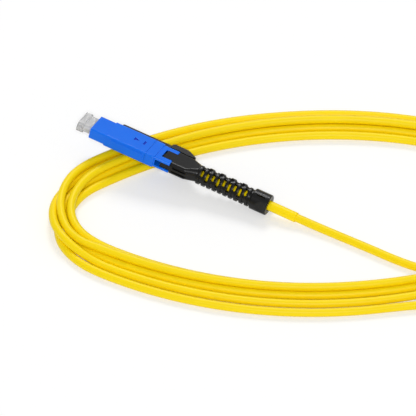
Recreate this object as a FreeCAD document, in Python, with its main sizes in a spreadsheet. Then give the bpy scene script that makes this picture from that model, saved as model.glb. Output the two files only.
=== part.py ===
import FreeCAD, Part
import math
import os
import re
import Sketcher
from FreeCAD import Placement, Rotation, Vector

# Fibre optic patch cable: a coiled duplex cable with a very small push-pull plug on each end.
# Millimetres, +Z up, standing on z = 0. The origin lies below the middle of the two plugs.
#
# A plug is drawn in its own frame and then placed. There, X is the plug's axis and counts
# stations from the nose face at 0 towards the cable, Y is the plug's wide direction with the
# key arm on the +Y side, and Z is its thin direction.

# Driving dimensions: alias, value, meaning.
DIMENSIONS = [
    ("nose_width", 7.8, "front housing, nose, wide direction"),
    ("nose_thickness", 3.4, "front housing, nose, thin direction"),
    ("nose_length", 4.8, "station where the main body starts"),
    ("body_width", 8.2, "front housing, main body, wide direction"),
    ("body_thickness", 3.8, "front housing, main body, thin direction"),
    ("body_end", 17.5, "station of the split between housing and rear collar"),
    ("outer_radius", 0.45, "rounding of the long outer edges"),
    ("mouth_width", 6.4, "opening in the nose for an adapter's split sleeves"),
    ("mouth_thickness", 2.3, "opening in the nose, thin direction"),
    ("mouth_depth", 6.0, "depth of the nose opening"),
    ("mouth_corner", 0.5, "rounding of the nose opening's corners"),
    ("inner_corner", 0.3, "rounding of the corners inside the shells"),
    ("web", 1.0, "wall behind the nose opening, which stops the ferrules"),
    ("body_wall", 0.55, "wall of the main body"),
    ("fit_gap", 0.05, "clearance between pieces that seat in each other"),
    ("slide_gap", 0.1, "clearance between pieces that slide"),
    ("ferrule_radius", 0.625, "half of the 1.25 mm ferrule"),
    ("ferrule_pitch", 3.1, "distance between the two ferrule axes"),
    ("ferrule_tip", 0.5, "station of the ferrule tips"),
    ("ferrule_end", 8.3, "station of the ferrules' rear ends, inside the flanges"),
    ("tip_chamfer", 0.18, "chamfer on the ferrule tip"),
    ("flange_radius", 1.1, "flange collar"),
    ("flange_collar", 1.2, "length of the flange collar"),
    ("flange_neck_radius", 0.7, "flange neck that centres the spring"),
    ("flange_neck_length", 2.2, "length of the flange neck"),
    ("bond_gap", 0.005, "bond between ferrule and flange"),
    ("spring_radius", 0.87, "mean radius of the ferrule spring"),
    ("spring_wire", 0.2, "wire of the ferrule spring"),
    ("spring_turns", 4, "turns of the ferrule spring"),
    ("spring_seat", 14.2, "station of the spring seat on the back post"),
    ("fibre_radius", 0.25, "half of the 0.5 mm buffered fibre"),
    ("fibre_bend", 4.0, "length of the fibres' bend towards the plug's axis"),
    ("fibre_end", 26.8, "station where the fibres end, short of the jacket"),
    ("fibre_merge", 0.3, "half distance between the fibres in the crimp barrel"),
    ("collar_front", 12.4, "station of the collar's front edge inside the housing"),
    ("collar_wall", 0.3, "wall of the collar inside the housing"),
    ("collar_step", 20.3, "station where the collar narrows"),
    ("prong_width", 7.6, "width over the prongs"),
    ("prong_thickness", 3.4, "thickness over the prongs"),
    ("prong_wall", 0.42, "wall of the prongs"),
    ("prong_end", 25.2, "station of the prong ends"),
    ("wide_notch_start", 21.8, "station where the wide-side notches start"),
    ("wide_notch_width", 3.9, "width of the wide-side notches"),
    ("side_notch_start", 20.7, "station where the narrow-side notches start"),
    ("side_notch_width", 1.8, "width of the narrow-side notches"),
    ("seat_plate", 1.8, "thickness of the back post's seat plate"),
    ("post_wall", 0.3, "wall of the back post's neck"),
    ("funnel_end", 19.8, "station where the neck meets the crimp barrel"),
    ("barrel_radius", 0.95, "crimp barrel"),
    ("barrel_bore", 0.65, "bore of the crimp barrel"),
    ("barrel_end", 27.4, "station of the barrel's rear end"),
    ("barrel_groove", 0.1, "depth of the two grooves round the crimp barrel"),
    ("crimp_wall", 0.28, "wall of the crimp sleeve"),
    ("crimp_start", 21.9, "station of the crimp sleeve's front end"),
    ("crimp_step", 27.95, "station where the crimp sleeve widens over the jacket"),
    ("crimp_end", 31.8, "station of the crimp sleeve's rear end"),
    ("jacket_radius", 1.2, "half of the 2.4 mm cable"),
    ("core_start", 28.2, "station where the jacket starts"),
    ("core_end", 60.0, "station where the free cable takes over"),
    ("sleeve_radius", 1.45, "heat-shrink sleeve"),
    ("sleeve_start", 32.2, "station of the sleeve's front end"),
    ("sleeve_end", 64.2, "station of the sleeve's rear end"),
    ("grip_start", 25.4, "station of the boot's grip face"),
    ("grip_width", 7.5, "grip, wide direction"),
    ("grip_thickness", 3.7, "grip, thin direction"),
    ("grip_waist", 29.8, "station where the grip starts to taper"),
    ("grip_end", 33.4, "station where the grip meets the ladder"),
    ("grip_rounding", 1.1, "rounding of the grip's long edges"),
    ("grip_groove_start", 0.7, "distance of the finger grooves from the grip's face"),
    ("grip_groove_offset", 0.62, "distance of a finger groove from the narrow side's middle"),
    ("grip_groove_length", 4.6, "length of the finger grooves"),
    ("grip_groove_width", 0.62, "width of the finger grooves"),
    ("grip_groove_depth", 0.4, "depth of the finger grooves"),
    ("tongue_start", 22.3, "station of the tongue tips"),
    ("tongue_thickness", 0.36, "thickness of the wide tongues"),
    ("tongue_lap", 0.2, "how far the tongues reach into the grip"),
    ("side_tongue_inset", 0.35, "how far the narrow tongue lies inside the prongs' outside"),
    ("side_tongue_thickness", 0.5, "thickness of the narrow tongue"),
    ("ladder_radius", 2.4, "core of the ladder"),
    ("taper_flat", 0.24, "how much flatter the taper ends than the ladder"),
    ("taper_lap", 0.6, "how far the ladder's core reaches into the taper"),
    ("ladder_bore", 1.6, "bore of the ladder, round the sleeve"),
    ("rib_radius", 2.85, "ribs of the ladder"),
    ("rib_width", 0.86, "width of a rib"),
    ("rib_pitch", 1.72, "distance from rib to rib"),
    ("rib_count", 10, "number of ribs"),
    ("rib_reach", 100, "how far a rib reaches to each side of the key's far side, in degrees"),
    ("knob_width", 1.2, "width of a knob, a short rib on the key side of every second gap"),
    ("knob_reach", 74, "how far a knob reaches to each side of the key side, in degrees"),
    ("low_window", 226, "direction of the lower windows, in degrees from the key side"),
    ("low_window_half", 22, "half of their width, in degrees"),
    ("short_window", 129, "direction of the short upper windows, on every second gap"),
    ("short_window_half", 30, "half of their width, in degrees"),
    ("long_window", 149, "direction of the long upper windows, on the gaps between"),
    ("long_window_half", 38, "half of their width, in degrees"),
    ("key_window", 44, "direction of the windows beside the key side, on every second gap"),
    ("key_window_half", 24, "half of their width, in degrees"),
    ("end_start", 50.4, "station where the end collar starts"),
    ("end_end", 55.6, "station where the boot ends"),
    ("end_radius", 3.05, "end collar"),
    ("end_bevel", 0.22, "bevel of the end collar's edges"),
    ("end_slit_length", 2.5, "slit in the end collar"),
    ("end_slit_width", 0.4, "slit in the end collar"),
    ("end_slit_angle", 38, "direction of that slit, from the upper face towards the near side"),
    ("scallop_radius", 3.6, "hollows in the end collar's sides"),
    ("scallop_depth", 0.5, "depth of those hollows"),
    ("scallop_station", 1.6, "distance of those hollows' axes from the boot's end"),
    ("arm_start", 6.4, "station of the key arm's front end"),
    ("arm_lead", 0.4, "free length of the groove in front of the key arm"),
    ("arm_rise", 1.3, "height of the key arm above the main body"),
    ("arm_groove", 0.3, "depth of the groove that the key arm lies in"),
    ("arm_width", 1.8, "key arm's tongue in the groove, thin direction"),
    ("strap_width", 2.5, "key arm outside the groove, thin direction"),
    ("arm_bevel", 0.35, "bevel of the key arm's front end"),
    ("arm_lap", 0.5, "how far the key arm reaches into its block"),
    ("block_start", 22.0, "station where the key block starts"),
    ("block_rise", 1.9, "height of the key block above the main body"),
    ("block_width", 3.4, "key block, thin direction"),
    ("block_bevel", 0.6, "bevel of the key block's front edge"),
    ("block_tail", 0.35, "thickness of the key block's rear end"),
    ("block_top_end", 26.9, "station where the key block's top ends"),
    ("block_end", 30.0, "station where the key block's slope ends"),
    ("cap_flange_width", 7.6, "dust cap flange, wide direction"),
    ("cap_flange_thickness", 3.3, "dust cap flange, thin direction"),
    ("cap_flange_length", 1.8, "dust cap flange, along the plug"),
    ("cap_flange_corner", 1.5, "rounding of the flange's corners"),
    ("cap_neck_width", 6.5, "dust cap neck, wide direction"),
    ("cap_neck_thickness", 2.5, "dust cap neck, thin direction"),
    ("cap_neck_corner", 1.1, "rounding of the neck's corners"),
    ("cap_neck_length", 2.4, "dust cap neck, outside the nose"),
    ("cap_plug_length", 3.0, "dust cap, length inside the nose"),
    ("cap_hole_radius", 0.78, "holes in the cap for the ferrules"),
    ("cap_hole_depth", 3.8, "depth of those holes"),
    ("panel_start", 6.5, "station where the side panel starts"),
    ("panel_length", 10.2, "length of the side panel"),
    ("panel_width", 2.3, "width of the side panel"),
    ("panel_rise", 0.15, "height of the side panel"),
    ("panel_corner", 0.5, "rounding of the side panel's corners"),
    ("mark_depth", 0.25, "depth of the polarity marks"),
    ("mark_line", 0.2, "how far the marks lie from the wide face's middle"),
    ("arrow_base", 12.1, "station of the arrow mark's base"),
    ("arrow_length", 1.6, "length of the arrow mark"),
    ("arrow_width", 1.5, "width of the arrow mark's base"),
    ("bar_station", 15.4, "station of the bar mark"),
    ("bar_length", 1.7, "length of the bar mark, across the plug"),
    ("bar_width", 0.6, "width of the bar mark"),
    ("coil_half_length", 77.6, "coil, outer half length"),
    ("coil_half_width", 40.6, "coil, outer half width"),
    ("coil_end_radius", 25.5, "coil, outer radius at its ends"),
    ("end_band", 10.5, "width of the coil's band of turns at its ends"),
    ("side_band", 12.2, "width of the coil's band of turns at its front and back"),
    ("corner_band", 10.0, "how much smaller the eye's end radius is than the coil's"),
    ("eye_shift", 1.2, "how far the eye lies behind the coil's middle"),
    ("coil_height", 4.8, "two layers of cable"),
    ("coil_edge", 1.2, "bevel of the coil's upper edges"),
    ("coil_turn", 2.0, "turn of the coil about the vertical"),
    ("coil_x", -11.63, "place of the coil's middle"),
    ("coil_y", -10.02, "place of the coil's middle"),
    ("plug_a_x", -64.35, "place of plug a's nose, from the coil's middle"),
    ("plug_a_y", 25.8, "place of plug a's nose, from the coil's middle"),
    ("plug_a_z", 9.79, "height of plug a's nose"),
    ("plug_a_yaw", -26.5, "direction of plug a on the surface"),
    ("plug_a_pitch", 6.93, "slope of plug a down to its boot's end"),
    ("plug_a_roll", -14.3, "turn of plug a about its own axis"),
    ("plug_b_x", 87.0, "place of plug b's nose, from the coil's middle"),
    ("plug_b_y", 40.0, "place of plug b's nose, from the coil's middle"),
    ("plug_b_z", 1.8, "height of plug b's nose"),
    ("plug_b_yaw", -90.0, "direction of plug b on the surface"),
    ("plug_b_pitch", -1.95, "slope of plug b up to its boot's end"),
    ("tail_lead", 2.0, "how far a free end runs straight on behind its sleeve"),
]

doc = FreeCAD.newDocument("patch_cable")
sheet = doc.addObject("Spreadsheet::Sheet", "sizes")
VALUES = {}
for row, (alias, value, meaning) in enumerate(DIMENSIONS, start=1):
    sheet.set("A%d" % row, meaning)
    sheet.set("B%d" % row, str(value))
    sheet.setAlias("B%d" % row, alias)
    VALUES[alias] = value
doc.recompute()

AXIAL = "YZ_Plane"
PLAN = "XY_Plane"
SIDE = "XZ_Plane"

# The four thin fibres have flat sides, so that they stay light.
FIBRE_SIDES = 12


def bound(text):
    """Turn a formula in plain aliases into an expression on the sheet."""
    return re.sub(r"[a-z_]+", lambda word: "sizes." * (word.group() in VALUES) + word.group(), text)


def value_of(text):
    """Value of such a formula, in millimetres or degrees."""
    return float(sheet.evalExpression(bound(text)))


def new_body(label):
    body = doc.addObject("PartDesign::Body", label)
    body.Label = label
    return body


def sketch_on(body, role, station="0"):
    """Empty sketch on one of the body's own origin planes, moved along its normal."""
    sketch = body.newObject("Sketcher::SketchObject", body.Label + "_sketch")
    plane = [item for item in body.Origin.OriginFeatures if item.Role == role][0]
    sketch.AttachmentSupport = [(plane, "")]
    sketch.MapMode = "FlatFace"
    sketch.setExpression("AttachmentOffset.Base.z", bound(station))
    return sketch


def bind(sketch, constraint, formula):
    """Add a dimension and tie it to its formula."""
    index = sketch.addConstraint(constraint)
    sketch.setExpression("Constraints[%d]" % index, bound(formula))


def polygon(sketch, corners):
    """Closed outline through corners given as pairs of formulas."""
    points = [Vector(value_of(x), value_of(y), 0) for x, y in corners]
    first = sketch.GeometryCount
    for start, end in zip(points, points[1:] + points[:1]):
        sketch.addGeometry(Part.LineSegment(start, end))
    count = len(points)
    for step in range(count):
        line, following = first + step, first + (step + 1) % count
        sketch.addConstraint(Sketcher.Constraint("Coincident", line, 2, following, 1))
    for step, (x, y) in enumerate(corners):
        line = first + step
        bind(sketch, Sketcher.Constraint("DistanceX", -1, 1, line, 1, points[step].x), x)
        bind(sketch, Sketcher.Constraint("DistanceY", -1, 1, line, 1, points[step].y), y)


def rounded(sketch, width, height, radius, x="0", y="0"):
    """Rectangle with round corners about the point x, y: four sides and four tangent arcs."""
    wide, high, round_by = value_of(width), value_of(height), value_of(radius)
    left, low = value_of(x) - wide / 2, value_of(y) - high / 2
    right, top = left + wide, low + high
    first = sketch.GeometryCount
    corners = [(right - round_by, low + round_by), (right - round_by, top - round_by),
               (left + round_by, top - round_by), (left + round_by, low + round_by)]
    sides = [((left + round_by, low), (right - round_by, low)),
             ((right, low + round_by), (right, top - round_by)),
             ((right - round_by, top), (left + round_by, top)),
             ((left, top - round_by), (left, low + round_by))]
    for quarter in range(4):
        (x0, y0), (x1, y1) = sides[quarter]
        sketch.addGeometry(Part.LineSegment(Vector(x0, y0, 0), Vector(x1, y1, 0)))
        circle = Part.Circle(Vector(corners[quarter][0], corners[quarter][1], 0), Vector(0, 0, 1), round_by)
        from_angle = math.radians(90 * quarter - 90)
        sketch.addGeometry(Part.ArcOfCircle(circle, from_angle, from_angle + math.pi / 2))
    for quarter in range(4):
        side, arc, following = first + 2 * quarter, first + 2 * quarter + 1, first + (2 * quarter + 2) % 8
        sketch.addConstraint(Sketcher.Constraint("Tangent", side, 2, arc, 1))
        sketch.addConstraint(Sketcher.Constraint("Tangent", arc, 2, following, 1))
        sketch.addConstraint(Sketcher.Constraint("Vertical" if quarter % 2 else "Horizontal", side))
        if quarter:
            sketch.addConstraint(Sketcher.Constraint("Equal", first + 1, arc))
    bind(sketch, Sketcher.Constraint("Radius", first + 1, round_by), radius)
    bind(sketch, Sketcher.Constraint("DistanceX", -1, 1, first + 6, 1, left), "%s - (%s) / 2" % (x, width))
    bind(sketch, Sketcher.Constraint("DistanceX", -1, 1, first + 2, 1, right), "%s + (%s) / 2" % (x, width))
    bind(sketch, Sketcher.Constraint("DistanceY", -1, 1, first, 1, low), "%s - (%s) / 2" % (y, height))
    bind(sketch, Sketcher.Constraint("DistanceY", -1, 1, first + 4, 1, top), "%s + (%s) / 2" % (y, height))


def circle(sketch, radius, x="0", y="0"):
    """Circle about the point x, y."""
    centre = Vector(value_of(x), value_of(y), 0)
    index = sketch.addGeometry(Part.Circle(centre, Vector(0, 0, 1), value_of(radius)))
    bind(sketch, Sketcher.Constraint("DistanceX", -1, 1, index, 3, centre.x), x)
    bind(sketch, Sketcher.Constraint("DistanceY", -1, 1, index, 3, centre.y), y)
    bind(sketch, Sketcher.Constraint("Radius", index, value_of(radius)), radius)


def pad(body, sketch, length, midplane=False):
    """Solid from a sketch, along its normal."""
    feature = body.newObject("PartDesign::Pad", body.Label + "_pad")
    feature.Profile = sketch
    feature.Midplane = midplane
    feature.setExpression("Length", bound(length))
    return feature


def pocket(body, sketch, length, midplane=False):
    """Cut from a sketch, along its normal."""
    feature = body.newObject("PartDesign::Pocket", body.Label + "_pocket")
    feature.Profile = sketch
    feature.Midplane = midplane
    feature.Reversed = not midplane
    feature.setExpression("Length", bound(length))
    return feature


def turned(body, corners, kind="PartDesign::Revolution"):
    """Outline of stations and radii, turned round the body's X axis; a Groove cuts it instead."""
    sketch = sketch_on(body, PLAN)
    polygon(sketch, corners)
    feature = body.newObject(kind, body.Label + "_turned")
    feature.Profile = sketch
    feature.ReferenceAxis = (sketch, ["H_Axis"])
    feature.Angle = 360
    return feature


def block(body, kind, low, size):
    """Box with its low corner and its size given as formulas; kind is Additive or Subtractive."""
    feature = body.newObject("PartDesign::%sBox" % kind, body.Label + "_block")
    for axis, formula in zip("xyz", low):
        feature.setExpression("Placement.Base." + axis, bound(formula))
    for name, formula in zip(("Length", "Width", "Height"), size):
        feature.setExpression(name, bound(formula))
    return feature


def repeated(body, feature, count, pitch):
    """Copies of a feature along the plug's axis."""
    pattern = body.newObject("PartDesign::LinearPattern", body.Label + "_row")
    pattern.Originals = [feature]
    axis = [item for item in body.Origin.OriginFeatures if item.Role == "X_Axis"][0]
    pattern.Direction = (axis, [""])
    pattern.Mode = "Spacing"
    pattern.setExpression("Offset", bound(pitch))
    pattern.Occurrences = count
    body.Tip = pattern
    return pattern


def dust_cap(label):
    """Moulded cap: a flange to hold, a neck, and a plug with two blind holes for the ferrules."""
    body = new_body(label)
    sketch = sketch_on(body, AXIAL, "-cap_neck_length - cap_flange_length")
    rounded(sketch, "cap_flange_width", "cap_flange_thickness", "cap_flange_corner")
    pad(body, sketch, "cap_flange_length")
    sketch = sketch_on(body, AXIAL, "-cap_neck_length")
    rounded(sketch, "cap_neck_width", "cap_neck_thickness", "cap_neck_corner")
    pad(body, sketch, "cap_neck_length - fit_gap")
    sketch = sketch_on(body, AXIAL, "-fit_gap")
    rounded(sketch, "mouth_width - 2 * slide_gap", "mouth_thickness - 2 * slide_gap", "mouth_corner")
    pad(body, sketch, "cap_plug_length + fit_gap")
    sketch = sketch_on(body, AXIAL, "cap_plug_length - cap_hole_depth")
    for side in ("-ferrule_pitch / 2", "ferrule_pitch / 2"):
        circle(sketch, "cap_hole_radius", side)
    pocket(body, sketch, "cap_hole_depth")
    return body


def housing(label):
    """Front housing: stepped shell with the nose opening, the web and the room for the springs."""
    body = new_body(label)
    sketch = sketch_on(body, AXIAL)
    rounded(sketch, "nose_width", "nose_thickness", "outer_radius")
    pad(body, sketch, "nose_length")
    sketch = sketch_on(body, AXIAL, "nose_length")
    rounded(sketch, "body_width", "body_thickness", "outer_radius")
    pad(body, sketch, "body_end - nose_length")
    sketch = sketch_on(body, SIDE, "body_width / 2")
    rounded(sketch, "panel_length", "panel_width", "panel_corner", "panel_start + panel_length / 2")
    pad(body, sketch, "panel_rise")
    sketch = sketch_on(body, AXIAL)
    rounded(sketch, "mouth_width", "mouth_thickness", "mouth_corner")
    pocket(body, sketch, "mouth_depth")
    sketch = sketch_on(body, AXIAL, "mouth_depth")
    for side in ("-ferrule_pitch / 2", "ferrule_pitch / 2"):
        circle(sketch, "ferrule_radius + slide_gap", side)
    pocket(body, sketch, "web")
    sketch = sketch_on(body, AXIAL, "mouth_depth + web")
    rounded(sketch, "body_width - 2 * body_wall", "body_thickness - 2 * body_wall", "inner_corner")
    pocket(body, sketch, "body_end - mouth_depth - web")
    block(body, "Subtractive",
          ("arm_start - arm_lead", "body_width / 2 - arm_groove", "-arm_width / 2 - slide_gap"),
          ("body_end - arm_start + arm_lead", "2 * arm_groove", "arm_width + 2 * slide_gap"))
    sketch = sketch_on(body, PLAN, "body_thickness / 2 - mark_depth")
    polygon(sketch, [("arrow_base", "mark_line + arrow_width / 2"),
                     ("arrow_base + arrow_length", "mark_line"),
                     ("arrow_base", "mark_line - arrow_width / 2")])
    rounded(sketch, "bar_width", "bar_length", "bar_width / 4", "bar_station", "mark_line")
    pocket(body, sketch, "mark_depth")
    return body


def rear_collar(label):
    """Rear collar: a tube that plugs into the housing and ends in four corner prongs."""
    body = new_body(label)
    sketch = sketch_on(body, AXIAL, "collar_front")
    rounded(sketch, "body_width - 2 * body_wall - 2 * fit_gap",
            "body_thickness - 2 * body_wall - 2 * fit_gap", "inner_corner")
    pad(body, sketch, "body_end - collar_front + fit_gap")
    sketch = sketch_on(body, AXIAL, "body_end + fit_gap")
    rounded(sketch, "body_width", "body_thickness", "outer_radius")
    pad(body, sketch, "collar_step - body_end - fit_gap")
    sketch = sketch_on(body, AXIAL, "collar_step")
    rounded(sketch, "prong_width", "prong_thickness", "outer_radius")
    pad(body, sketch, "prong_end - collar_step")
    sketch = sketch_on(body, AXIAL, "collar_front")
    rounded(sketch, "body_width - 2 * body_wall - 2 * fit_gap - 2 * collar_wall",
            "body_thickness - 2 * body_wall - 2 * fit_gap - 2 * collar_wall", "inner_corner")
    pocket(body, sketch, "collar_step - collar_front")
    sketch = sketch_on(body, AXIAL, "collar_step")
    rounded(sketch, "prong_width - 2 * prong_wall", "prong_thickness - 2 * prong_wall", "inner_corner")
    pocket(body, sketch, "prong_end - collar_step")
    block(body, "Subtractive",
          ("wide_notch_start", "-wide_notch_width / 2", "-prong_thickness"),
          ("prong_end", "wide_notch_width", "2 * prong_thickness"))
    block(body, "Subtractive",
          ("side_notch_start", "-prong_width", "-side_notch_width / 2"),
          ("prong_end", "2 * prong_width", "side_notch_width"))
    block(body, "Subtractive",
          ("body_end", "body_width / 2 - arm_groove", "-arm_width / 2 - slide_gap"),
          ("prong_end - body_end", "2 * arm_groove", "arm_width + 2 * slide_gap"))
    return body


def ferrule(label):
    """Ceramic ferrule with a chamfered tip, drawn on its own axis."""
    body = new_body(label)
    turned(body, [("ferrule_tip", "0"), ("ferrule_tip", "ferrule_radius - tip_chamfer"),
                  ("ferrule_tip + tip_chamfer", "ferrule_radius"), ("ferrule_end", "ferrule_radius"),
                  ("ferrule_end", "0")])
    return body


def flange(label):
    """Metal flange that holds the ferrule, stops at the web and centres the spring."""
    body = new_body(label)
    front = "mouth_depth + web + fit_gap"
    shoulder = front + " + flange_collar"
    neck_end = shoulder + " + flange_neck_length"
    turned(body, [(front, "ferrule_radius + bond_gap"), (front, "flange_radius"), (shoulder, "flange_radius"),
                  (shoulder, "flange_neck_radius"), (neck_end, "flange_neck_radius"),
                  (neck_end, "fibre_radius + fit_gap"),
                  ("ferrule_end + fit_gap", "fibre_radius + fit_gap"),
                  ("ferrule_end + fit_gap", "ferrule_radius + bond_gap")])
    return body


def spring(label):
    """Compression spring of square wire between the flange collar and the back post."""
    radius, wire = VALUES["spring_radius"], VALUES["spring_wire"]
    front = value_of("mouth_depth + web + fit_gap + flange_collar") + wire
    length = VALUES["spring_seat"] - wire - front
    helix = Part.makeHelix(length / VALUES["spring_turns"], length, radius)
    half = wire / 2
    corners = [Vector(radius - half, 0, -half), Vector(radius + half, 0, -half),
               Vector(radius + half, 0, half), Vector(radius - half, 0, half)]
    section = Part.makePolygon(corners + corners[:1])
    coil = Part.Wire(helix).makePipeShell([section], True, True)
    along_plug = Placement(Vector(front, 0, 0), Rotation(Vector(0, 1, 0), 90))
    feature = doc.addObject("Part::Feature", label)
    feature.Label = label
    feature.Shape = coil.transformed(along_plug.Matrix, True)
    return feature


def fibre(label):
    """Buffered fibre: straight through the spring, then an easy bend towards the plug's axis."""
    pitch, merge = VALUES["ferrule_pitch"] / 2, VALUES["fibre_merge"]
    start = VALUES["ferrule_end"] + VALUES["fit_gap"]
    bend_start = VALUES["spring_seat"]
    bend_end = bend_start + VALUES["fibre_bend"]
    points = [Vector(start, 0, 0), Vector(bend_start, 0, 0), Vector(bend_end, merge - pitch, 0),
              Vector(VALUES["fibre_end"], merge - pitch, 0)]
    path = rounded_path(points)
    feature = doc.addObject("Part::Feature", label)
    feature.Label = label
    feature.Shape = tube_along(path, points, VALUES["fibre_radius"], FIBRE_SIDES)
    return feature


def back_post(label):
    """Back post: seat plate for the springs, a narrower neck for the fibres and a grooved crimp barrel."""
    body = new_body(label)
    width = "body_width - 2 * body_wall - 4 * fit_gap - 2 * collar_wall"
    height = "body_thickness - 2 * body_wall - 4 * fit_gap - 2 * collar_wall"
    sketch = sketch_on(body, AXIAL, "spring_seat")
    rounded(sketch, width, height, "inner_corner")
    pad(body, sketch, "seat_plate")
    sketch = sketch_on(body, AXIAL, "spring_seat + seat_plate")
    rounded(sketch, "ferrule_pitch + 4 * fibre_radius + 2 * post_wall", "4 * fibre_radius + 2 * post_wall",
            "inner_corner")
    pad(body, sketch, "funnel_end - spring_seat - seat_plate")
    groove = "(barrel_end - funnel_end) / 3"
    profile = [("funnel_end", "0"), ("funnel_end", "barrel_radius")]
    for step in (1, 2):
        here = "funnel_end + %d * %s" % (step, groove)
        profile += [(here, "barrel_radius"), (here, "barrel_radius - barrel_groove"),
                    (here + " + barrel_groove * 2", "barrel_radius - barrel_groove"),
                    (here + " + barrel_groove * 2", "barrel_radius")]
    profile += [("barrel_end", "barrel_radius"), ("barrel_end", "0")]
    turned(body, profile)
    sketch = sketch_on(body, AXIAL, "spring_seat")
    rounded(sketch, "ferrule_pitch + 4 * fibre_radius", "4 * fibre_radius", "1.8 * fibre_radius")
    pocket(body, sketch, "funnel_end - spring_seat")
    sketch = sketch_on(body, AXIAL, "spring_seat")
    circle(sketch, "barrel_bore")
    pocket(body, sketch, "barrel_end - spring_seat")
    return body


def crimp_sleeve(label):
    """Metal tube crimped over the barrel and the end of the jacket."""
    body = new_body(label)
    barrel = "barrel_radius + fit_gap"
    jacket = "jacket_radius + fit_gap"
    turned(body, [("crimp_start", barrel), ("crimp_start", barrel + " + crimp_wall"),
                  ("crimp_step - crimp_wall", barrel + " + crimp_wall"),
                  ("crimp_step", jacket + " + crimp_wall"),
                  ("crimp_end", jacket + " + crimp_wall"), ("crimp_end", jacket),
                  ("crimp_step + crimp_wall / 2", jacket), ("crimp_step - crimp_wall / 2", barrel)])
    return body


def cable_core(label):
    """The cable's jacket inside the plug."""
    body = new_body(label)
    turned(body, [("core_start", "0"), ("core_start", "jacket_radius"),
                  ("core_end", "jacket_radius"), ("core_end", "0")])
    return body


def cable_sleeve(label):
    """Heat-shrink sleeve over the jacket, seen through the boot and behind it."""
    body = new_body(label)
    inner = "jacket_radius + fit_gap"
    turned(body, [("sleeve_start", inner), ("sleeve_start", "sleeve_radius"),
                  ("sleeve_end", "sleeve_radius"), ("sleeve_end", inner)])
    return body


def sector(sketch, middle, half_angle):
    """Wedge from inside the bore to outside the ribs, about a middle angle in degrees."""
    near, far = "ladder_bore / 2", "rib_radius * 1.5"
    sides = ["%s - %s" % (middle, half_angle), "%s + %s" % (middle, half_angle)]
    corners = [(near, sides[0]), (far, sides[0]), (far, sides[1]), (near, sides[1])]
    polygon(sketch, [("%s * cos(%s)" % pair, "%s * sin(%s)" % pair) for pair in corners])


def part_ring(body, start, width, direction, reach):
    """Short rib from inside the ladder's core, reaching to both sides of the key side or its far side."""
    sketch = sketch_on(body, PLAN)
    root = "%d * (ladder_bore + ladder_radius) / 2" % direction
    rim = "%d * rib_radius" % direction
    end = "%s + %s" % (start, width)
    polygon(sketch, [(start, root), (start, rim), (end, rim), (end, root)])
    ring = body.newObject("PartDesign::Revolution", body.Label + "_ring")
    ring.Profile = sketch
    ring.ReferenceAxis = (sketch, ["H_Axis"])
    ring.Midplane = True
    ring.setExpression("Angle", bound("2 * " + reach))
    return ring


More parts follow.
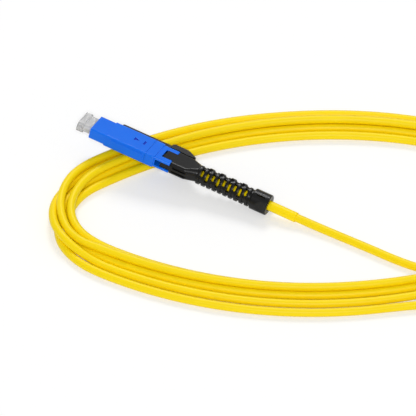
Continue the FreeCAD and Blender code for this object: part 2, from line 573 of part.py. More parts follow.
def boot(label):
    """Push-pull boot: grip with finger grooves and tongues, staggered ladder and end collar."""
    body = new_body(label)
    sketch = sketch_on(body, AXIAL, "grip_start")
    rounded(sketch, "grip_width", "grip_thickness", "grip_rounding")
    pad(body, sketch, "grip_waist - grip_start")
    near = sketch_on(body, AXIAL, "grip_waist")
    rounded(near, "grip_width", "grip_thickness", "grip_rounding")
    far = sketch_on(body, AXIAL, "grip_end")
    rounded(far, "2 * ladder_radius", "2 * ladder_radius - taper_flat", "ladder_radius - taper_flat")
    loft = body.newObject("PartDesign::AdditiveLoft", label + "_taper")
    loft.Profile = near
    loft.Sections = [far]
    loft.Ruled = True
    turned(body, [("grip_end - taper_lap", "0"), ("grip_end - taper_lap", "ladder_radius"),
                  ("end_start", "ladder_radius"), ("end_start", "end_radius - end_bevel"),
                  ("end_start + end_bevel", "end_radius"), ("end_end - end_bevel", "end_radius"),
                  ("end_end", "end_radius - end_bevel"), ("end_end", "0")])
    rib = part_ring(body, "grip_end", "rib_width", -1, "rib_reach")
    repeated(body, rib, VALUES["rib_count"], "rib_pitch")
    knob_start = "grip_end + 3 * rib_pitch / 2 + (rib_width - knob_width) / 2"
    knob = part_ring(body, knob_start, "knob_width", 1, "knob_reach")
    repeated(body, knob, (VALUES["rib_count"] - 1) // 2, "2 * rib_pitch")
    bore = "jacket_radius + fit_gap + crimp_wall + slide_gap"
    turned(body, [("tongue_start", "0"), ("tongue_start", bore), ("crimp_end + slide_gap", bore),
                  ("crimp_end + slide_gap", "ladder_bore"), ("end_end", "ladder_bore"), ("end_end", "0")],
           "PartDesign::Groove")
    window = "grip_end + rib_width"
    gap = "rib_pitch - rib_width"
    every = sketch_on(body, AXIAL, window)
    sector(every, "low_window", "low_window_half")
    repeated(body, pocket(body, every, gap), VALUES["rib_count"] - 1, "rib_pitch")
    even = sketch_on(body, AXIAL, window)
    sector(even, "short_window", "short_window_half")
    sector(even, "-key_window", "key_window_half")
    sector(even, "key_window", "key_window_half")
    repeated(body, pocket(body, even, gap), VALUES["rib_count"] // 2, "2 * rib_pitch")
    odd = sketch_on(body, AXIAL, window + " + rib_pitch")
    sector(odd, "long_window", "long_window_half")
    repeated(body, pocket(body, odd, gap), (VALUES["rib_count"] - 1) // 2, "2 * rib_pitch")
    for side in ("-1", "1"):
        middle = "%s * (prong_thickness / 2 - tongue_thickness / 2)" % side
        block(body, "Additive",
              ("tongue_start", "-wide_notch_width / 2 + slide_gap", middle + " - tongue_thickness / 2"),
              ("grip_start - tongue_start + tongue_lap", "wide_notch_width - 2 * slide_gap",
               "tongue_thickness"))
    block(body, "Additive",
          ("tongue_start", "-prong_width / 2 + side_tongue_inset", "-side_notch_width / 2 + slide_gap"),
          ("grip_start - tongue_start + tongue_lap", "side_tongue_thickness",
           "side_notch_width - 2 * slide_gap"))
    for side in ("-1", "1"):
        block(body, "Subtractive",
              ("grip_start + grip_groove_start", "-grip_width / 2 - grip_groove_depth",
               "%s * grip_groove_offset - grip_groove_width / 2" % side),
              ("grip_groove_length", "2 * grip_groove_depth", "grip_groove_width"))
    slit = block(body, "Subtractive",
                 ("(end_start + end_end - end_slit_length) / 2", "-end_slit_width / 2", "ladder_bore / 2"),
                 ("end_slit_length", "end_slit_width", "end_radius"))
    slit.Placement.Rotation = Rotation(Vector(1, 0, 0), VALUES["end_slit_angle"])
    for side in (-1, 1):
        hollow = body.newObject("PartDesign::SubtractiveCylinder", label + "_hollow")
        hollow.setExpression("Radius", bound("scallop_radius"))
        hollow.setExpression("Height", bound("3 * end_radius"))
        hollow.setExpression("Placement.Base.x", bound("end_end - scallop_station"))
        hollow.setExpression("Placement.Base.y",
                             bound("%d * (end_radius + scallop_radius - scallop_depth)" % side))
        hollow.setExpression("Placement.Base.z", bound("-1.5 * end_radius"))
    return body


def key_arm(label):
    """Polarity key: an arm with its tongue in the narrow side's groove and a chamfered block on the boot."""
    body = new_body(label)
    base = "body_width / 2 - arm_groove + fit_gap"
    top = "body_width / 2 + arm_rise"
    block_top = "body_width / 2 + block_rise"
    sketch = sketch_on(body, PLAN)
    polygon(sketch, [("arm_start", base), ("block_start + arm_lap", base), ("block_start + arm_lap", top),
                     ("arm_start + arm_bevel", top), ("arm_start", top + " - arm_bevel")])
    pad(body, sketch, "arm_width", True)
    strap = "body_width / 2 + fit_gap"
    sketch = sketch_on(body, PLAN)
    polygon(sketch, [("arm_start", strap), ("block_start + arm_lap", strap), ("block_start + arm_lap", top),
                     ("arm_start + arm_bevel", top), ("arm_start", top + " - arm_bevel")])
    pad(body, sketch, "strap_width", True)
    seat = "grip_width / 2 + bond_gap"
    sketch = sketch_on(body, PLAN)
    polygon(sketch, [("block_start", "prong_width / 2 + slide_gap"),
                     ("grip_start + fit_gap", "prong_width / 2 + slide_gap"), ("grip_start + fit_gap", seat),
                     ("grip_waist", seat), ("block_end", seat + " + block_tail"),
                     ("block_top_end", block_top), ("block_start + block_bevel", block_top),
                     ("block_start", block_top + " - block_bevel")])
    pad(body, sketch, "block_width", True)
    return body


def rounded_path(points):
    """Straight runs joined by tangent arcs, each as large as its two runs allow."""
    edges, start = [], points[0]
    for before, corner, after in zip(points, points[1:], points[2:]):
        back, ahead = before - corner, after - corner
        turn = math.pi - back.getAngle(ahead)
        cut = 0.45 * min(back.Length, ahead.Length)
        enter = corner + back * (cut / back.Length)
        leave = corner + ahead * (cut / ahead.Length)
        radius = cut / math.tan(turn / 2)
        inward = (back * (1 / back.Length) + ahead * (1 / ahead.Length)).normalize()
        middle = corner + inward * (radius / math.cos(turn / 2) - radius)
        edges.append(Part.LineSegment(start, enter).toShape())
        edges.append(Part.Arc(enter, middle, leave).toShape())
        start = leave
    edges.append(Part.LineSegment(start, points[-1]).toShape())
    return Part.Wire(edges)


def bend_radii(points):
    """Radius of each arc of a rounded path."""
    radii = []
    for before, corner, after in zip(points, points[1:], points[2:]):
        back, ahead = before - corner, after - corner
        turn = math.pi - back.getAngle(ahead)
        radii.append(round(0.45 * min(back.Length, ahead.Length) / math.tan(turn / 2), 1))
    return radii


def tube_along(path, points, radius, sides=0):
    """Solid of the given radius along a path: round, or with that many flat sides."""
    if sides:
        across = Placement(points[0], Rotation(Vector(0, 0, 1), points[1] - points[0]))
        turns = [2 * math.pi * side / sides for side in range(sides + 1)]
        rim = [Vector(radius * math.cos(turn), radius * math.sin(turn), 0) for turn in turns[:-1]]
        section = Part.makePolygon([across.multVec(point) for point in rim + rim[:1]])
    else:
        section = Part.Wire(Part.makeCircle(radius, points[0], points[1] - points[0]))
    return path.makePipeShell([section], True, False)


def oval(half_length, half_width, end_radius, shift=0.0):
    """Closed oval of four tangent arcs about the middle, moved along Y."""
    side_radius = ((half_length - end_radius) ** 2 + half_width ** 2 - end_radius ** 2) / (
        2 * (half_width - end_radius))
    side_centre = half_width - side_radius
    end_centre = half_length - end_radius
    lean = math.atan2(-side_centre, end_centre)
    arcs = [(0, side_centre, side_radius, lean, math.pi - lean),
            (-end_centre, 0, end_radius, math.pi - lean, math.pi + lean),
            (0, -side_centre, side_radius, math.pi + lean, 2 * math.pi - lean),
            (end_centre, 0, end_radius, -lean, lean)]
    up = Vector(0, 0, 1)
    edges = [Part.ArcOfCircle(Part.Circle(Vector(x, y + shift, 0), up, radius), start, end).toShape()
             for x, y, radius, start, end in arcs]
    return Part.Wire(edges)


def cable_coil(label):
    """Closed solid of the coil's outer shape: an oval ring, flat below and bevelled above."""
    height = Vector(0, 0, VALUES["coil_height"])
    outer = oval(VALUES["coil_half_length"], VALUES["coil_half_width"], VALUES["coil_end_radius"])
    eye = oval(VALUES["coil_half_length"] - VALUES["end_band"],
               VALUES["coil_half_width"] - VALUES["side_band"],
               VALUES["coil_end_radius"] - VALUES["corner_band"], VALUES["eye_shift"])
    ring = Part.Face(outer).extrude(height).cut(Part.Face(eye).extrude(height))
    top = [edge for edge in ring.Edges if edge.BoundBox.ZMin > VALUES["coil_height"] - 0.001]
    feature = doc.addObject("Part::Feature", label)
    feature.Label = label
    feature.Shape = ring.makeChamfer(VALUES["coil_edge"], top)
    feature.Placement = COIL_PLACE
    return feature


# The two plugs and the coil, placed as they lie. Plug a leans its housing on the coil and rests
# the end of its boot on the surface. Plug b lies on the surface beside the coil's far end.
COIL_PLACE = Placement(Vector(VALUES["coil_x"], VALUES["coil_y"], 0),
                       Rotation(Vector(0, 0, 1), VALUES["coil_turn"]))
PLUG_A = Placement(COIL_PLACE.Base + Vector(VALUES["plug_a_x"], VALUES["plug_a_y"], VALUES["plug_a_z"]),
                   Rotation(VALUES["plug_a_yaw"], VALUES["plug_a_pitch"], VALUES["plug_a_roll"]))
PLUG_B = Placement(COIL_PLACE.Base + Vector(VALUES["plug_b_x"], VALUES["plug_b_y"], VALUES["plug_b_z"]),
                   Rotation(VALUES["plug_b_yaw"], VALUES["plug_b_pitch"], 0))


def clone(piece, label, place):
    """One more of a piece, placed where it lies."""
    body = new_body(label)
    base = doc.addObject("PartDesign::FeatureBase", label + "_base")
    base.BaseFeature = piece
    body.Group = [base]
    body.Tip = base
    body.Placement = place
    return body


# Every piece is drawn once, in the plug's frame. The ferrule pieces are drawn on their own axis.
PIECES = [make(make.__name__) for make in (dust_cap, housing, rear_collar, back_post, crimp_sleeve,
                                           boot, key_arm, cable_sleeve, cable_core)]
FERRULE_PIECES = [make(make.__name__) for make in (ferrule, flange, spring, fibre)]
HALF_TURN = Rotation(Vector(1, 0, 0), 180)
nodes = []
for suffix, place in (("a", PLUG_A), ("b", PLUG_B)):
    for piece in PIECES:
        nodes.append(clone(piece, "%s_%s" % (piece.Label, suffix), place))
    for side_name, side, flip in (("upper", 0.5, Rotation()), ("lower", -0.5, HALF_TURN)):
        line = place * Placement(Vector(0, side * VALUES["ferrule_pitch"], 0), flip)
        for piece in FERRULE_PIECES:
            nodes.append(clone(piece, "%s_%s_%s" % (side_name, piece.Label, suffix), line))

nodes.append(cable_coil("cable_coil"))

# Free ends of the cable. The first two points lie on the plug's axis, the others are chosen by
# hand on the surface, counted from the coil's middle.
LYING = VALUES["jacket_radius"]
TAIL_A = [(2.2, -7.6, LYING), (12.5, -13.6, LYING), (21.5, -19.1, LYING), (28.6, -22.0, LYING),
          (35.5, -21.4, LYING), (42.5, -19.2, LYING)]
TAIL_B = [(87.0, -32.0, 3.3), (85.2, -38.8, 2.2), (80.6, -43.8, 1.5), (73.8, -46.4, LYING),
          (65.0, -46.6, LYING), (56.0, -44.4, LYING), (47.5, -41.2, LYING), (39.0, -38.2, LYING),
          (30.0, -36.4, LYING), (21.0, -36.5, LYING)]


def cable_tail(label, place, lying):
    """Free cable from inside a plug's sleeve to the coil."""
    exits = [place.multVec(Vector(VALUES["core_end"], 0, 0)),
             place.multVec(Vector(VALUES["sleeve_end"] + VALUES["tail_lead"], 0, 0))]
    points = exits + [COIL_PLACE.Base + Vector(*point) for point in lying]
    path = rounded_path(points)
    solid = tube_along(path, points, VALUES["jacket_radius"])
    expected = math.pi * VALUES["jacket_radius"] ** 2 * path.Length
    print(label, "length", round(path.Length, 1), "radii", bend_radii(points),
          "volume ratio", round(solid.Volume / expected, 4))
    feature = doc.addObject("Part::Feature", label)
    feature.Label = label
    feature.Shape = solid
    return feature


nodes.append(cable_tail("cable_tail_a", PLUG_A, TAIL_A))
nodes.append(cable_tail("cable_tail_b", PLUG_B, TAIL_B))

doc.recompute()
for item in doc.Objects:
    if "Invalid" in item.State or "Error" in item.State:
        raise RuntimeError("%s failed: %s" % (item.Name, item.State))
for node in nodes:
    shape = node.Shape
    if shape.isNull() or not shape.isValid() or len(shape.Solids) != 1:
        raise RuntimeError("%s has no valid single solid" % node.Label)

os.makedirs("parts", exist_ok=True)
for node in nodes:
    node.Shape.exportStep("parts/%s.step" % node.Label)
print(len(nodes), "nodes written")
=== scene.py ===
import bmesh
import bpy
import numpy as np
from mathutils import Euler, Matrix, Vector


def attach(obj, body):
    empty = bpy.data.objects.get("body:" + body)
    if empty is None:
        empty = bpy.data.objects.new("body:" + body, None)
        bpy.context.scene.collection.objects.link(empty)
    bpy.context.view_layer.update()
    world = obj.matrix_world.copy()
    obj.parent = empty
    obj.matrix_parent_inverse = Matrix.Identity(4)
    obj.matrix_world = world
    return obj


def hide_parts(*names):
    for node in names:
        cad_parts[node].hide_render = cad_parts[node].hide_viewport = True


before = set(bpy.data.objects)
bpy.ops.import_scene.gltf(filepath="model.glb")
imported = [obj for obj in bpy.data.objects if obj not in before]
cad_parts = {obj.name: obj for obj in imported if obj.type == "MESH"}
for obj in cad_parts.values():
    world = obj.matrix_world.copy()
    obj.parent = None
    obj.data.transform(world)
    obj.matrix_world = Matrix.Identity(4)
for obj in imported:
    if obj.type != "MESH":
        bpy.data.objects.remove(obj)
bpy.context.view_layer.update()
MM = 0.001


# The view: a product shot with a long lens, from in front and halfway above. It looks at the left
# half of the coil, so that the picture's right edge cuts through the cable's turns. The distance
# and the picture's width are in metres.
AIM = Vector((-43.93, -6.82, 0.0)) * MM
ELEVATION = np.radians(45.5)
DISTANCE = 4.0
PICTURE_WIDTH = 0.1178
SENSOR_WIDTH = 36.0


def add_object(name, data):
    """New object in the scene that shows this data."""
    made = bpy.data.objects.new(name, data)
    bpy.context.scene.collection.objects.link(made)
    return made


camera = add_object("camera", bpy.data.cameras.new("camera"))
camera.data.sensor_width = SENSOR_WIDTH
camera.data.lens = SENSOR_WIDTH * DISTANCE / PICTURE_WIDTH
camera.location = AIM + DISTANCE * Vector((0.0, -np.cos(ELEVATION), np.sin(ELEVATION)))
camera.rotation_euler = (np.pi / 2 - ELEVATION, 0.0, 0.0)
bpy.context.scene.camera = camera
bpy.context.scene.view_settings.view_transform = "Standard"


# The cable: one round duplex cable, 2.4 mm over a soft yellow low-smoke jacket. It leaves plug a,
# runs into five loose oval turns that cross over each other, and leaves them for plug b.
JACKET_RADIUS = 1.2
# Stations on a plug's own axis, counted back from its nose face: where the drawn cable begins
# inside the sleeve, how far it runs straight, and where the sleeve ends.
JACKET_END, LEAD_END, SLEEVE_END = 60.0, 66.2, 64.2
# Each plug's nose, in millimetres, and its turns about x, y and z, in degrees.
PLUG_PLACES = {"a": ((-75.98, 15.78, 9.79), (-14.3, 6.93, -26.5)),
               "b": ((75.37, 29.98, 1.8), (0.0, -1.95, -90.0))}
COIL_MIDDLE = np.array([-11.63, -10.02, 0.0])
COIL_TURN = np.radians(2.0)


def plug_axes(plug):
    """Place of a plug's nose, and a matrix with the plug's own axes as its columns."""
    place, turns = PLUG_PLACES[plug]
    return np.array(place), np.array(Euler(np.radians(turns)).to_matrix())


def on_axis(plug, station):
    """Point on a plug's own axis, at a distance from its nose face, in millimetres."""
    place, axes = plug_axes(plug)
    return place + station * axes[:, 0]


# The free ends, counted from the coil's middle.
TAIL_A = [(2.2, -7.6, 1.2), (12.5, -13.6, 1.2), (21.5, -19.1, 1.2), (28.6, -22.4, 1.2),
          (35.5, -21.2, 1.2), (42.3, -19.0, 1.2), (49.0, -17.2, 1.2)]
TAIL_B = [(29.0, -35.9, 1.2), (38.5, -37.2, 1.2), (47.5, -40.7, 1.2), (56.0, -44.2, 1.2),
          (65.0, -46.6, 1.2), (73.8, -46.4, 1.2), (80.6, -43.8, 1.5), (85.2, -38.8, 2.2),
          (87.0, -32.0, 3.3)]

# The turns lie in an oval of four arcs. A lane gives where a turn lies: the direction from the
# middle in degrees, the distance inside the oval and the height over the surface.
HALF_LENGTH, HALF_WIDTH, END_RADIUS = 77.6, 40.6, 25.5
SIDE_RADIUS = ((HALF_LENGTH - END_RADIUS) ** 2 + HALF_WIDTH ** 2 - END_RADIUS ** 2) / (
    2 * (HALF_WIDTH - END_RADIUS))
LEAN = np.arctan2(SIDE_RADIUS - HALF_WIDTH, HALF_LENGTH - END_RADIUS)
LANES = [
    [(-52, 9.6, 1.2), (0, 8.8, 1.2), (58, 9.2, 1.2), (90, 9.6, 1.2), (122, 8.75, 1.2), (150, 7.2, 1.2),
     (180, 5.45, 1.2), (205, 5.15, 1.2), (235, 6.8, 1.2), (270, 8.15, 1.2), (282, 7.85, 1.2),
     (303, 4.0, 1.2)],
    [(0, 3.7, 1.2), (58, 3.8, 1.2), (90, 3.7, 1.2), (122, 2.7, 1.2), (150, 1.9, 1.25), (168, 1.15, 2.1),
     (188, 1.2, 3.65), (205, 2.15, 3.65), (222, 3.4, 2.5), (238, 4.15, 1.2), (270, 4.8, 1.2),
     (282, 4.6, 1.2), (303, 1.5, 1.2)],
    [(0, 1.2, 1.2), (58, 1.2, 1.2), (90, 1.2, 1.2), (108, 1.2, 2.2), (122, 1.3, 3.2), (140, 1.7, 3.7),
     (160, 2.65, 3.75), (180, 3.65, 3.65), (205, 4.7, 3.65), (220, 6.4, 3.6), (235, 8.25, 3.1),
     (270, 9.75, 2.93), (282, 9.4, 2.95), (303, 5.2, 3.3)],
    [(0, 4.95, 3.35), (58, 5.1, 3.3), (90, 5.2, 3.2), (106, 5.2, 3.3), (122, 5.3, 3.5), (150, 5.9, 3.6),
     (180, 6.4, 3.6), (205, 7.6, 3.3), (220, 9.05, 2.55), (235, 10.3, 1.6), (270, 11.45, 1.2),
     (282, 11.05, 1.2), (303, 6.4, 1.2)],
    [(0, 6.2, 1.2), (58, 6.4, 1.2), (90, 6.6, 1.2), (122, 6.0, 1.2), (150, 4.4, 1.2), (180, 3.0, 1.2),
     (205, 1.3, 1.2), (235, 1.2, 1.2), (270, 1.4, 1.2), (279, 1.4, 1.2)],
]
# The lane along which the turns' length is measured, and the distance between control points.
MIDDLE_INSET = 6.0
TURN_STEP = 5.0
FIRST_ANGLE, ANGLE_STEP = -90.0, 0.5


def oval(angle, inset):
    """Point of the oval whose outward direction is angle, moved inwards by inset."""
    turn = np.radians(angle)
    cosine, sine = np.cos(turn), np.sin(turn)
    at_side = np.abs(sine) > np.sin(LEAN)
    end_x = np.sign(cosine) * (HALF_LENGTH - END_RADIUS) + (END_RADIUS - inset) * cosine
    side_y = (SIDE_RADIUS - inset) * sine - np.sign(sine) * (SIDE_RADIUS - HALF_WIDTH)
    x = np.where(at_side, (SIDE_RADIUS - inset) * cosine, end_x)
    y = np.where(at_side, side_y, (END_RADIUS - inset) * sine)
    return x, y


def eased(at, stations, values):
    """Values between stations on a cubic curve that never overshoots: at each station its slope is
    the harmonic mean of the slopes beside it, or level where they point opposite ways."""
    slopes = np.diff(values) / np.diff(stations)
    same_way = slopes[:-1] * slopes[1:] > 0
    mean = 2 * slopes[:-1] * slopes[1:] / np.where(same_way, slopes[:-1] + slopes[1:], 1)
    bends = np.concatenate([slopes[:1], np.where(same_way, mean, 0), slopes[-1:]])
    span = np.clip(np.searchsorted(stations, at) - 1, 0, len(stations) - 2)
    wide = stations[span + 1] - stations[span]
    u = (at - stations[span]) / wide
    return ((1 + 2 * u) * (1 - u) ** 2 * values[span] + u * (1 - u) ** 2 * wide * bends[span]
            + u ** 2 * (3 - 2 * u) * values[span + 1] + u ** 2 * (u - 1) * wide * bends[span + 1])


def coil_points():
    """Control points of all the turns, an even distance apart along the oval."""
    angles = np.arange(FIRST_ANGLE, 360.0 * len(LANES), ANGLE_STEP)
    x, y = oval(angles, MIDDLE_INSET)
    run = np.concatenate([[0.0], np.cumsum(np.hypot(np.diff(x), np.diff(y)))])
    lanes = np.array([(360 * turn + angle, inset, height)
                      for turn, lane in enumerate(LANES) for angle, inset, height in lane])
    stations = np.interp(lanes[:, 0], angles, run)
    at = np.arange(stations[0], stations[-1], TURN_STEP)
    x, y = oval(np.interp(at, run, angles), eased(at, stations, lanes[:, 1]))
    heights = eased(at, stations, lanes[:, 2])
    return np.column_stack([x * np.cos(COIL_TURN) - y * np.sin(COIL_TURN),
                            x * np.sin(COIL_TURN) + y * np.cos(COIL_TURN), heights])


route = np.vstack([on_axis("a", JACKET_END), on_axis("a", LEAD_END), COIL_MIDDLE + TAIL_A,
                   COIL_MIDDLE + coil_points(), COIL_MIDDLE + TAIL_B,
                   on_axis("b", LEAD_END), on_axis("b", JACKET_END)]) * MM
# How finely the curve is drawn, along it and round it.
STEPS_ALONG, STEPS_ROUND = 6, 6
line = bpy.data.curves.new("cable", "CURVE")
line.dimensions = "3D"
spline = line.splines.new("NURBS")
spline.points.add(len(route) - 1)
spline.points.foreach_set("co", np.column_stack([route, np.ones(len(route))]).ravel())
spline.order_u = 3
spline.use_endpoint_u = True
line.resolution_u = STEPS_ALONG
line.bevel_depth = JACKET_RADIUS * MM
line.bevel_resolution = STEPS_ROUND
line.use_fill_caps = True
cable = add_object("cable", line)

# How many finer layers the noise of the patches and of the grain has.
PATCH_DETAIL, GRAIN_DETAIL = 3.0, 4.0
# The mix node's colour sockets go by number, because its other kinds of sockets share their names.
COLOUR_A, COLOUR_B, MIXED_COLOUR = 6, 7, 2


def linear(hex_colour):
    """sRGB hex value as linear red, green, blue and alpha."""
    srgb = np.array([int(hex_colour[start:start + 2], 16) for start in (1, 3, 5)]) / 255
    return (*np.where(srgb <= 0.04045, srgb / 12.92, ((srgb + 0.055) / 1.055) ** 2.4), 1.0)


def add_node(tree, kind, settings=None, inputs=None):
    """Add a shader node with its settings; an input is a value, or a socket that is linked to it."""
    made = tree.nodes.new(kind)
    for name, value in (settings or {}).items():
        setattr(made, name, value)
    for name, value in (inputs or {}).items():
        if isinstance(value, bpy.types.NodeSocket):
            tree.links.new(value, made.inputs[name])
        else:
            made.inputs[name].default_value = value
    return made


def finish_of(name, light, dark, patch, grain, grain_depth, shader):
    """Material whose colour drifts between a light and a dark tone in patches of one size, with a
    grain of another size and depth in its surface; sizes are in millimetres."""
    material = bpy.data.materials.new(name)
    material.use_nodes = True
    tree = material.node_tree
    tree.nodes.clear()
    place = add_node(tree, "ShaderNodeTexCoord").outputs["Object"]
    drift = add_node(tree, "ShaderNodeTexNoise", None,
                     {"Vector": place, "Scale": 1 / (patch * MM), "Detail": PATCH_DETAIL})
    tone = add_node(tree, "ShaderNodeMix", {"data_type": "RGBA"},
                    {"Factor": drift.outputs["Fac"], COLOUR_A: linear(dark), COLOUR_B: linear(light)})
    skin = add_node(tree, "ShaderNodeTexNoise", None,
                    {"Vector": place, "Scale": 1 / (grain * MM), "Detail": GRAIN_DETAIL})
    relief = add_node(tree, "ShaderNodeBump", None,
                      {"Height": skin.outputs["Fac"], "Distance": grain_depth * MM, "Strength": 1.0})
    surface = add_node(tree, "ShaderNodeBsdfPrincipled", None,
                       {"Base Color": tone.outputs[MIXED_COLOUR], "Normal": relief.outputs["Normal"],
                        **shader})
    add_node(tree, "ShaderNodeOutputMaterial", None, {"Surface": surface.outputs["BSDF"]})
    return material


# Extruded flame-retardant polyolefin: satin and a little waxy, with faint changes of tone.
jacket_yellow = finish_of("yellow_polyolefin", light="#FCE004", dark="#F9D802",
                          patch=9.0, grain=0.5, grain_depth=0.003,
                          shader={"Roughness": 0.42, "IOR": 1.45, "Specular IOR Level": 0.25})
line.materials.append(jacket_yellow)
for core in ("cable_core_a", "cable_core_b"):
    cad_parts[core].data.materials.clear()
    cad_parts[core].data.materials.append(jacket_yellow)
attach(cable, "cable")
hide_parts("cable_tail_a", "cable_coil", "cable_tail_b")


# Heat-shrink sleeves: a thin yellow polyolefin tube shrunk over the jacket behind each boot. It is
# glossier than the jacket, and its free end is a cut rim. The profile gives stations and radii.
SLEEVE_PROFILE = [(32.2, 1.25), (32.2, 1.45), (56.0, 1.45), (61.5, 1.45), (63.9, 1.46), (64.12, 1.45),
                  (64.2, 1.4), (64.2, 1.25)]
ROUND_SIDES = 48


def face_outwards(mesh):
    """Turn all faces of a closed mesh outwards."""
    work = bmesh.new()
    work.from_mesh(mesh)
    bmesh.ops.recalc_face_normals(work, faces=work.faces)
    work.to_mesh(mesh)
    work.free()


def turned_shell(name, plug, profile):
    """Closed shell of an outline of stations and radii, turned round a plug's axis."""
    place, axes = plug_axes(plug)
    stations, radii = np.array(profile).T
    angles = np.arange(ROUND_SIDES) * 2 * np.pi / ROUND_SIDES
    x = np.repeat(stations, ROUND_SIDES)
    y = np.outer(radii, np.cos(angles)).ravel()
    z = np.outer(radii, np.sin(angles)).ravel()
    points = (np.column_stack([x, y, z]) @ axes.T + place) * MM
    ring = np.arange(len(profile))[:, None] * ROUND_SIDES
    side = np.arange(ROUND_SIDES)[None, :]
    after = np.roll(ring, -1, axis=0)
    beside = (side + 1) % ROUND_SIDES
    faces = np.stack([ring + side, after + side, after + beside, ring + beside], axis=-1)
    mesh = bpy.data.meshes.new(name)
    mesh.from_pydata(points.tolist(), [], faces.reshape(-1, 4).tolist())
    face_outwards(mesh)
    mesh.shade_smooth()
    return add_object(name, mesh)


sleeve_yellow = finish_of("yellow_heat_shrink", light="#FFE400", dark="#FFDC00",
                          patch=6.0, grain=0.8, grain_depth=0.002,
                          shader={"Roughness": 0.33, "IOR": 1.5, "Specular IOR Level": 0.2})
for plug in PLUG_PLACES:
    sleeve = turned_shell("sleeve_" + plug, plug, SLEEVE_PROFILE)
    sleeve.data.materials.append(sleeve_yellow)
    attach(sleeve, "cable")
    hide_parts("cable_sleeve_" + plug)


# Boots: the push-pull grip, the slotted strain relief and the end collar are one black moulding of
# a tough elastomer. Its edges are soft, and the skin is lightly eroded from the mould.

# Points this near are one point, faces within the first angle are one flat face, and what is
# sharper than the second is an edge to round. The large faces keep their even light.
WELD_DISTANCE = 1e-6
FLAT_ANGLE = np.radians(0.5)
EDGE_ANGLE = np.radians(25.0)
LARGE_FACE_WEIGHT = 100


def moulded_copy(name, source, rounding, steps):
    """Copy of a solid's mesh with its edges rounded, as a mould leaves them."""
    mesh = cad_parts[source].data.copy()
    mesh.name = name
    mesh.materials.clear()
    work = bmesh.new()
    work.from_mesh(mesh)
    bmesh.ops.remove_doubles(work, verts=work.verts, dist=WELD_DISTANCE)
    bmesh.ops.dissolve_limit(work, angle_limit=FLAT_ANGLE, verts=work.verts, edges=work.edges)
    work.to_mesh(mesh)
    work.free()
    mesh.shade_smooth()
    piece = add_object(name, mesh)
    soft_edges = piece.modifiers.new("soft_edges", "BEVEL")
    soft_edges.width = rounding * MM
    soft_edges.segments = steps
    soft_edges.limit_method = "ANGLE"
    soft_edges.angle_limit = EDGE_ANGLE
    even_faces = piece.modifiers.new("even_faces", "WEIGHTED_NORMAL")
    even_faces.weight = LARGE_FACE_WEIGHT
    return piece


boot_black = finish_of("black_elastomer", light="#101010", dark="#0A0A0A",
                       patch=4.0, grain=0.12, grain_depth=0.004,
                       shader={"Roughness": 0.3, "IOR": 1.5, "Specular IOR Level": 0.3})
for plug in PLUG_PLACES:
    boot = moulded_copy("boot_" + plug + "_moulding", "boot_" + plug, rounding=0.09, steps=2)
    boot.data.materials.append(boot_black)
    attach(boot, "grip_" + plug)
    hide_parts("boot_" + plug)


# Key arms: a stiff black nylon arm that lies in the groove of the housing's key side and ends in a
# sloping block on the grip. It moves with the boot, and its skin has a low, even sheen.
arm_black = finish_of("black_nylon", light="#131313", dark="#0C0C0C",
                      patch=4.0, grain=0.15, grain_depth=0.003,
                      shader={"Roughness": 0.33, "IOR": 1.53})
for plug in PLUG_PLACES:
    arm = moulded_copy("key_arm_" + plug + "_moulding", "key_arm_" + plug, rounding=0.12, steps=2)
    arm.data.materials.append(arm_black)
    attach(arm, "grip_" + plug)
    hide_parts("key_arm_" + plug)


# Front housings and rear collars: bright blue glass-filled polyester, moulded in a polished tool,
# so the faces are smooth and the edges crisp. The collar snaps into the housing. The two polarity
# marks are shallow recesses in a housing's wide face, in a darker blue.
housing_blue = finish_of("blue_polyester", light="#0072F2", dark="#006AEA",
                         patch=5.0, grain=0.2, grain_depth=0.002,
                         shader={"Roughness": 0.3, "IOR": 1.57, "Specular IOR Level": 0.22})
mark_blue = finish_of("dark_blue_marks", light="#0A3CC8", dark="#0836B8",
                      patch=5.0, grain=0.2, grain_depth=0.002,
                      shader={"Roughness": 0.5, "IOR": 1.57, "Specular IOR Level": 0.2})
# The corners of the room that holds the marks' faces, on the plug's own axes, in millimetres.
MARKS_FROM = np.array([12.0, -0.75, 1.6])
MARKS_TO = np.array([15.8, 1.15, 1.87])


def paint_marks(mesh, plug):
    """Give the faces of a housing's polarity marks, which lie under its wide face, the second slot."""
    place, axes = plug_axes(plug)
    middles = (np.array([face.center for face in mesh.polygons]) / MM - place) @ axes
    inside = np.all((middles > MARKS_FROM) & (middles < MARKS_TO), axis=1)
    mesh.polygons.foreach_set("material_index", inside.astype(int))


for plug in PLUG_PLACES:
    for shell in ("housing_", "rear_collar_"):
        moulding = moulded_copy(shell + plug + "_moulding", shell + plug, rounding=0.07, steps=2)
        moulding.data.materials.append(housing_blue)
        if shell == "housing_":
            moulding.data.materials.append(mark_blue)
            paint_marks(moulding.data, plug)
        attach(moulding, "cable")
        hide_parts(shell + plug)


# Dust caps: a soft grey translucent polyethylene plug that keeps the ferrules clean. Two blind
# holes fit over the ferrules, and the flange is the part to pull.
cap_grey = finish_of("clear_polyethylene", light="#F0F0F0", dark="#DCDCDC",
                     patch=1.2, grain=0.3, grain_depth=0.004,
                     shader={"Roughness": 0.24, "IOR": 1.51, "Transmission Weight": 0.6})
for plug in PLUG_PLACES:
    cap = moulded_copy("dust_cap_" + plug + "_moulding", "dust_cap_" + plug, rounding=0.22, steps=3)
    cap.data.materials.append(cap_grey)
    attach(cap, "cap_" + plug)
    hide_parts("dust_cap_" + plug)


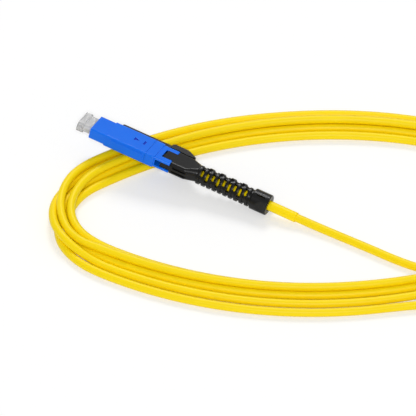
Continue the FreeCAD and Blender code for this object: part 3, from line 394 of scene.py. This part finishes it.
# Inner pieces: zirconia ferrules in nickel-plated flanges, steel springs, a back post and a crimp
# sleeve in black oxide, and buffered fibres. They show only through the notches and the nose.
# The ground ceramic is white and shiny, the nickel warm and bright, the spring wire a darker grey,
# the fibre's buffer milky, and the oxide nearly black with a soft sheen.
ceramic_white = finish_of("zirconia", light="#F4F4EE", dark="#ECECE4",
                          patch=1.0, grain=0.1, grain_depth=0.0005,
                          shader={"Roughness": 0.15, "IOR": 2.1})
nickel_plate = finish_of("nickel_plate", light="#9A968C", dark="#8C877B",
                         patch=1.5, grain=0.1, grain_depth=0.001,
                         shader={"Roughness": 0.25, "Metallic": 1.0})
spring_wire = finish_of("spring_steel", light="#6E6C68", dark="#5E5C58",
                        patch=1.0, grain=0.08, grain_depth=0.001,
                        shader={"Roughness": 0.35, "Metallic": 1.0})
fibre_buffer = finish_of("acrylate_buffer", light="#F2EFE6", dark="#E8E4D8",
                         patch=1.0, grain=0.1, grain_depth=0.001,
                         shader={"Roughness": 0.35, "IOR": 1.5})
black_oxide = finish_of("black_oxide", light="#33312E", dark="#282624",
                        patch=1.5, grain=0.1, grain_depth=0.001,
                        shader={"Roughness": 0.45, "Metallic": 1.0})
INNER_FINISHES = {"upper_ferrule": ceramic_white, "lower_ferrule": ceramic_white,
                  "upper_flange": nickel_plate, "lower_flange": nickel_plate,
                  "upper_spring": spring_wire, "lower_spring": spring_wire,
                  "upper_fibre": fibre_buffer, "lower_fibre": fibre_buffer,
                  "back_post": black_oxide, "crimp_sleeve": black_oxide}
for plug in PLUG_PLACES:
    for inner, finish in INNER_FINISHES.items():
        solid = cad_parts[inner + "_" + plug]
        solid.data.materials.clear()
        solid.data.materials.append(finish)


# The set: a white surface under a pale sky. The surface adds a share of plain white to what the
# camera sees of it, which keeps its shadows light.
FLOOR_SIZE = 6.0
FLOOR_LIFT = 0.38
half = FLOOR_SIZE / 2
floor_mesh = bpy.data.meshes.new("floor")
floor_mesh.from_pydata([(-half, -half, 0), (half, -half, 0), (half, half, 0), (-half, half, 0)], [],
                       [(0, 1, 2, 3)])
floor = add_object("floor", floor_mesh)
paper = bpy.data.materials.new("white_paper")
paper.use_nodes = True
paper.node_tree.nodes.clear()
matt = add_node(paper.node_tree, "ShaderNodeBsdfDiffuse", None, {"Color": linear("#FFFFFF")})
white = add_node(paper.node_tree, "ShaderNodeEmission", None,
                 {"Color": linear("#FFFFFF"), "Strength": 1.0})
path = add_node(paper.node_tree, "ShaderNodeLightPath")
share = add_node(paper.node_tree, "ShaderNodeMath", {"operation": "MULTIPLY"},
                 {0: path.outputs["Is Camera Ray"], 1: FLOOR_LIFT})
lifted = add_node(paper.node_tree, "ShaderNodeMixShader", None,
                  {0: share.outputs[0], 1: matt.outputs[0], 2: white.outputs[0]})
add_node(paper.node_tree, "ShaderNodeOutputMaterial", None, {"Surface": lifted.outputs[0]})
floor_mesh.materials.append(paper)

SKY_STRENGTH = 0.42
world = bpy.data.worlds.new("studio")
bpy.context.scene.world = world
world.use_nodes = True
sky = world.node_tree.nodes["Background"]
sky.inputs["Color"].default_value = linear("#FFFFFF")
sky.inputs["Strength"].default_value = SKY_STRENGTH

# The key light comes from behind and throws the shadows. The fill light comes from where the
# camera is, so it brightens the near sides and reaches into the boot's windows. Each has its
# strength, its width and its turns in degrees.
LIGHTS = {"key": (1.15, 20.0, (-43.0, 0.0, -6.0)),
          "fill": (1.4, 10.0, (44.5, 0.0, 0.0))}
for name, (strength, width, turns) in LIGHTS.items():
    lamp = add_object(name, bpy.data.lights.new(name, "SUN"))
    lamp.data.energy = strength
    lamp.data.angle = np.radians(width)
    lamp.rotation_euler = np.radians(turns)
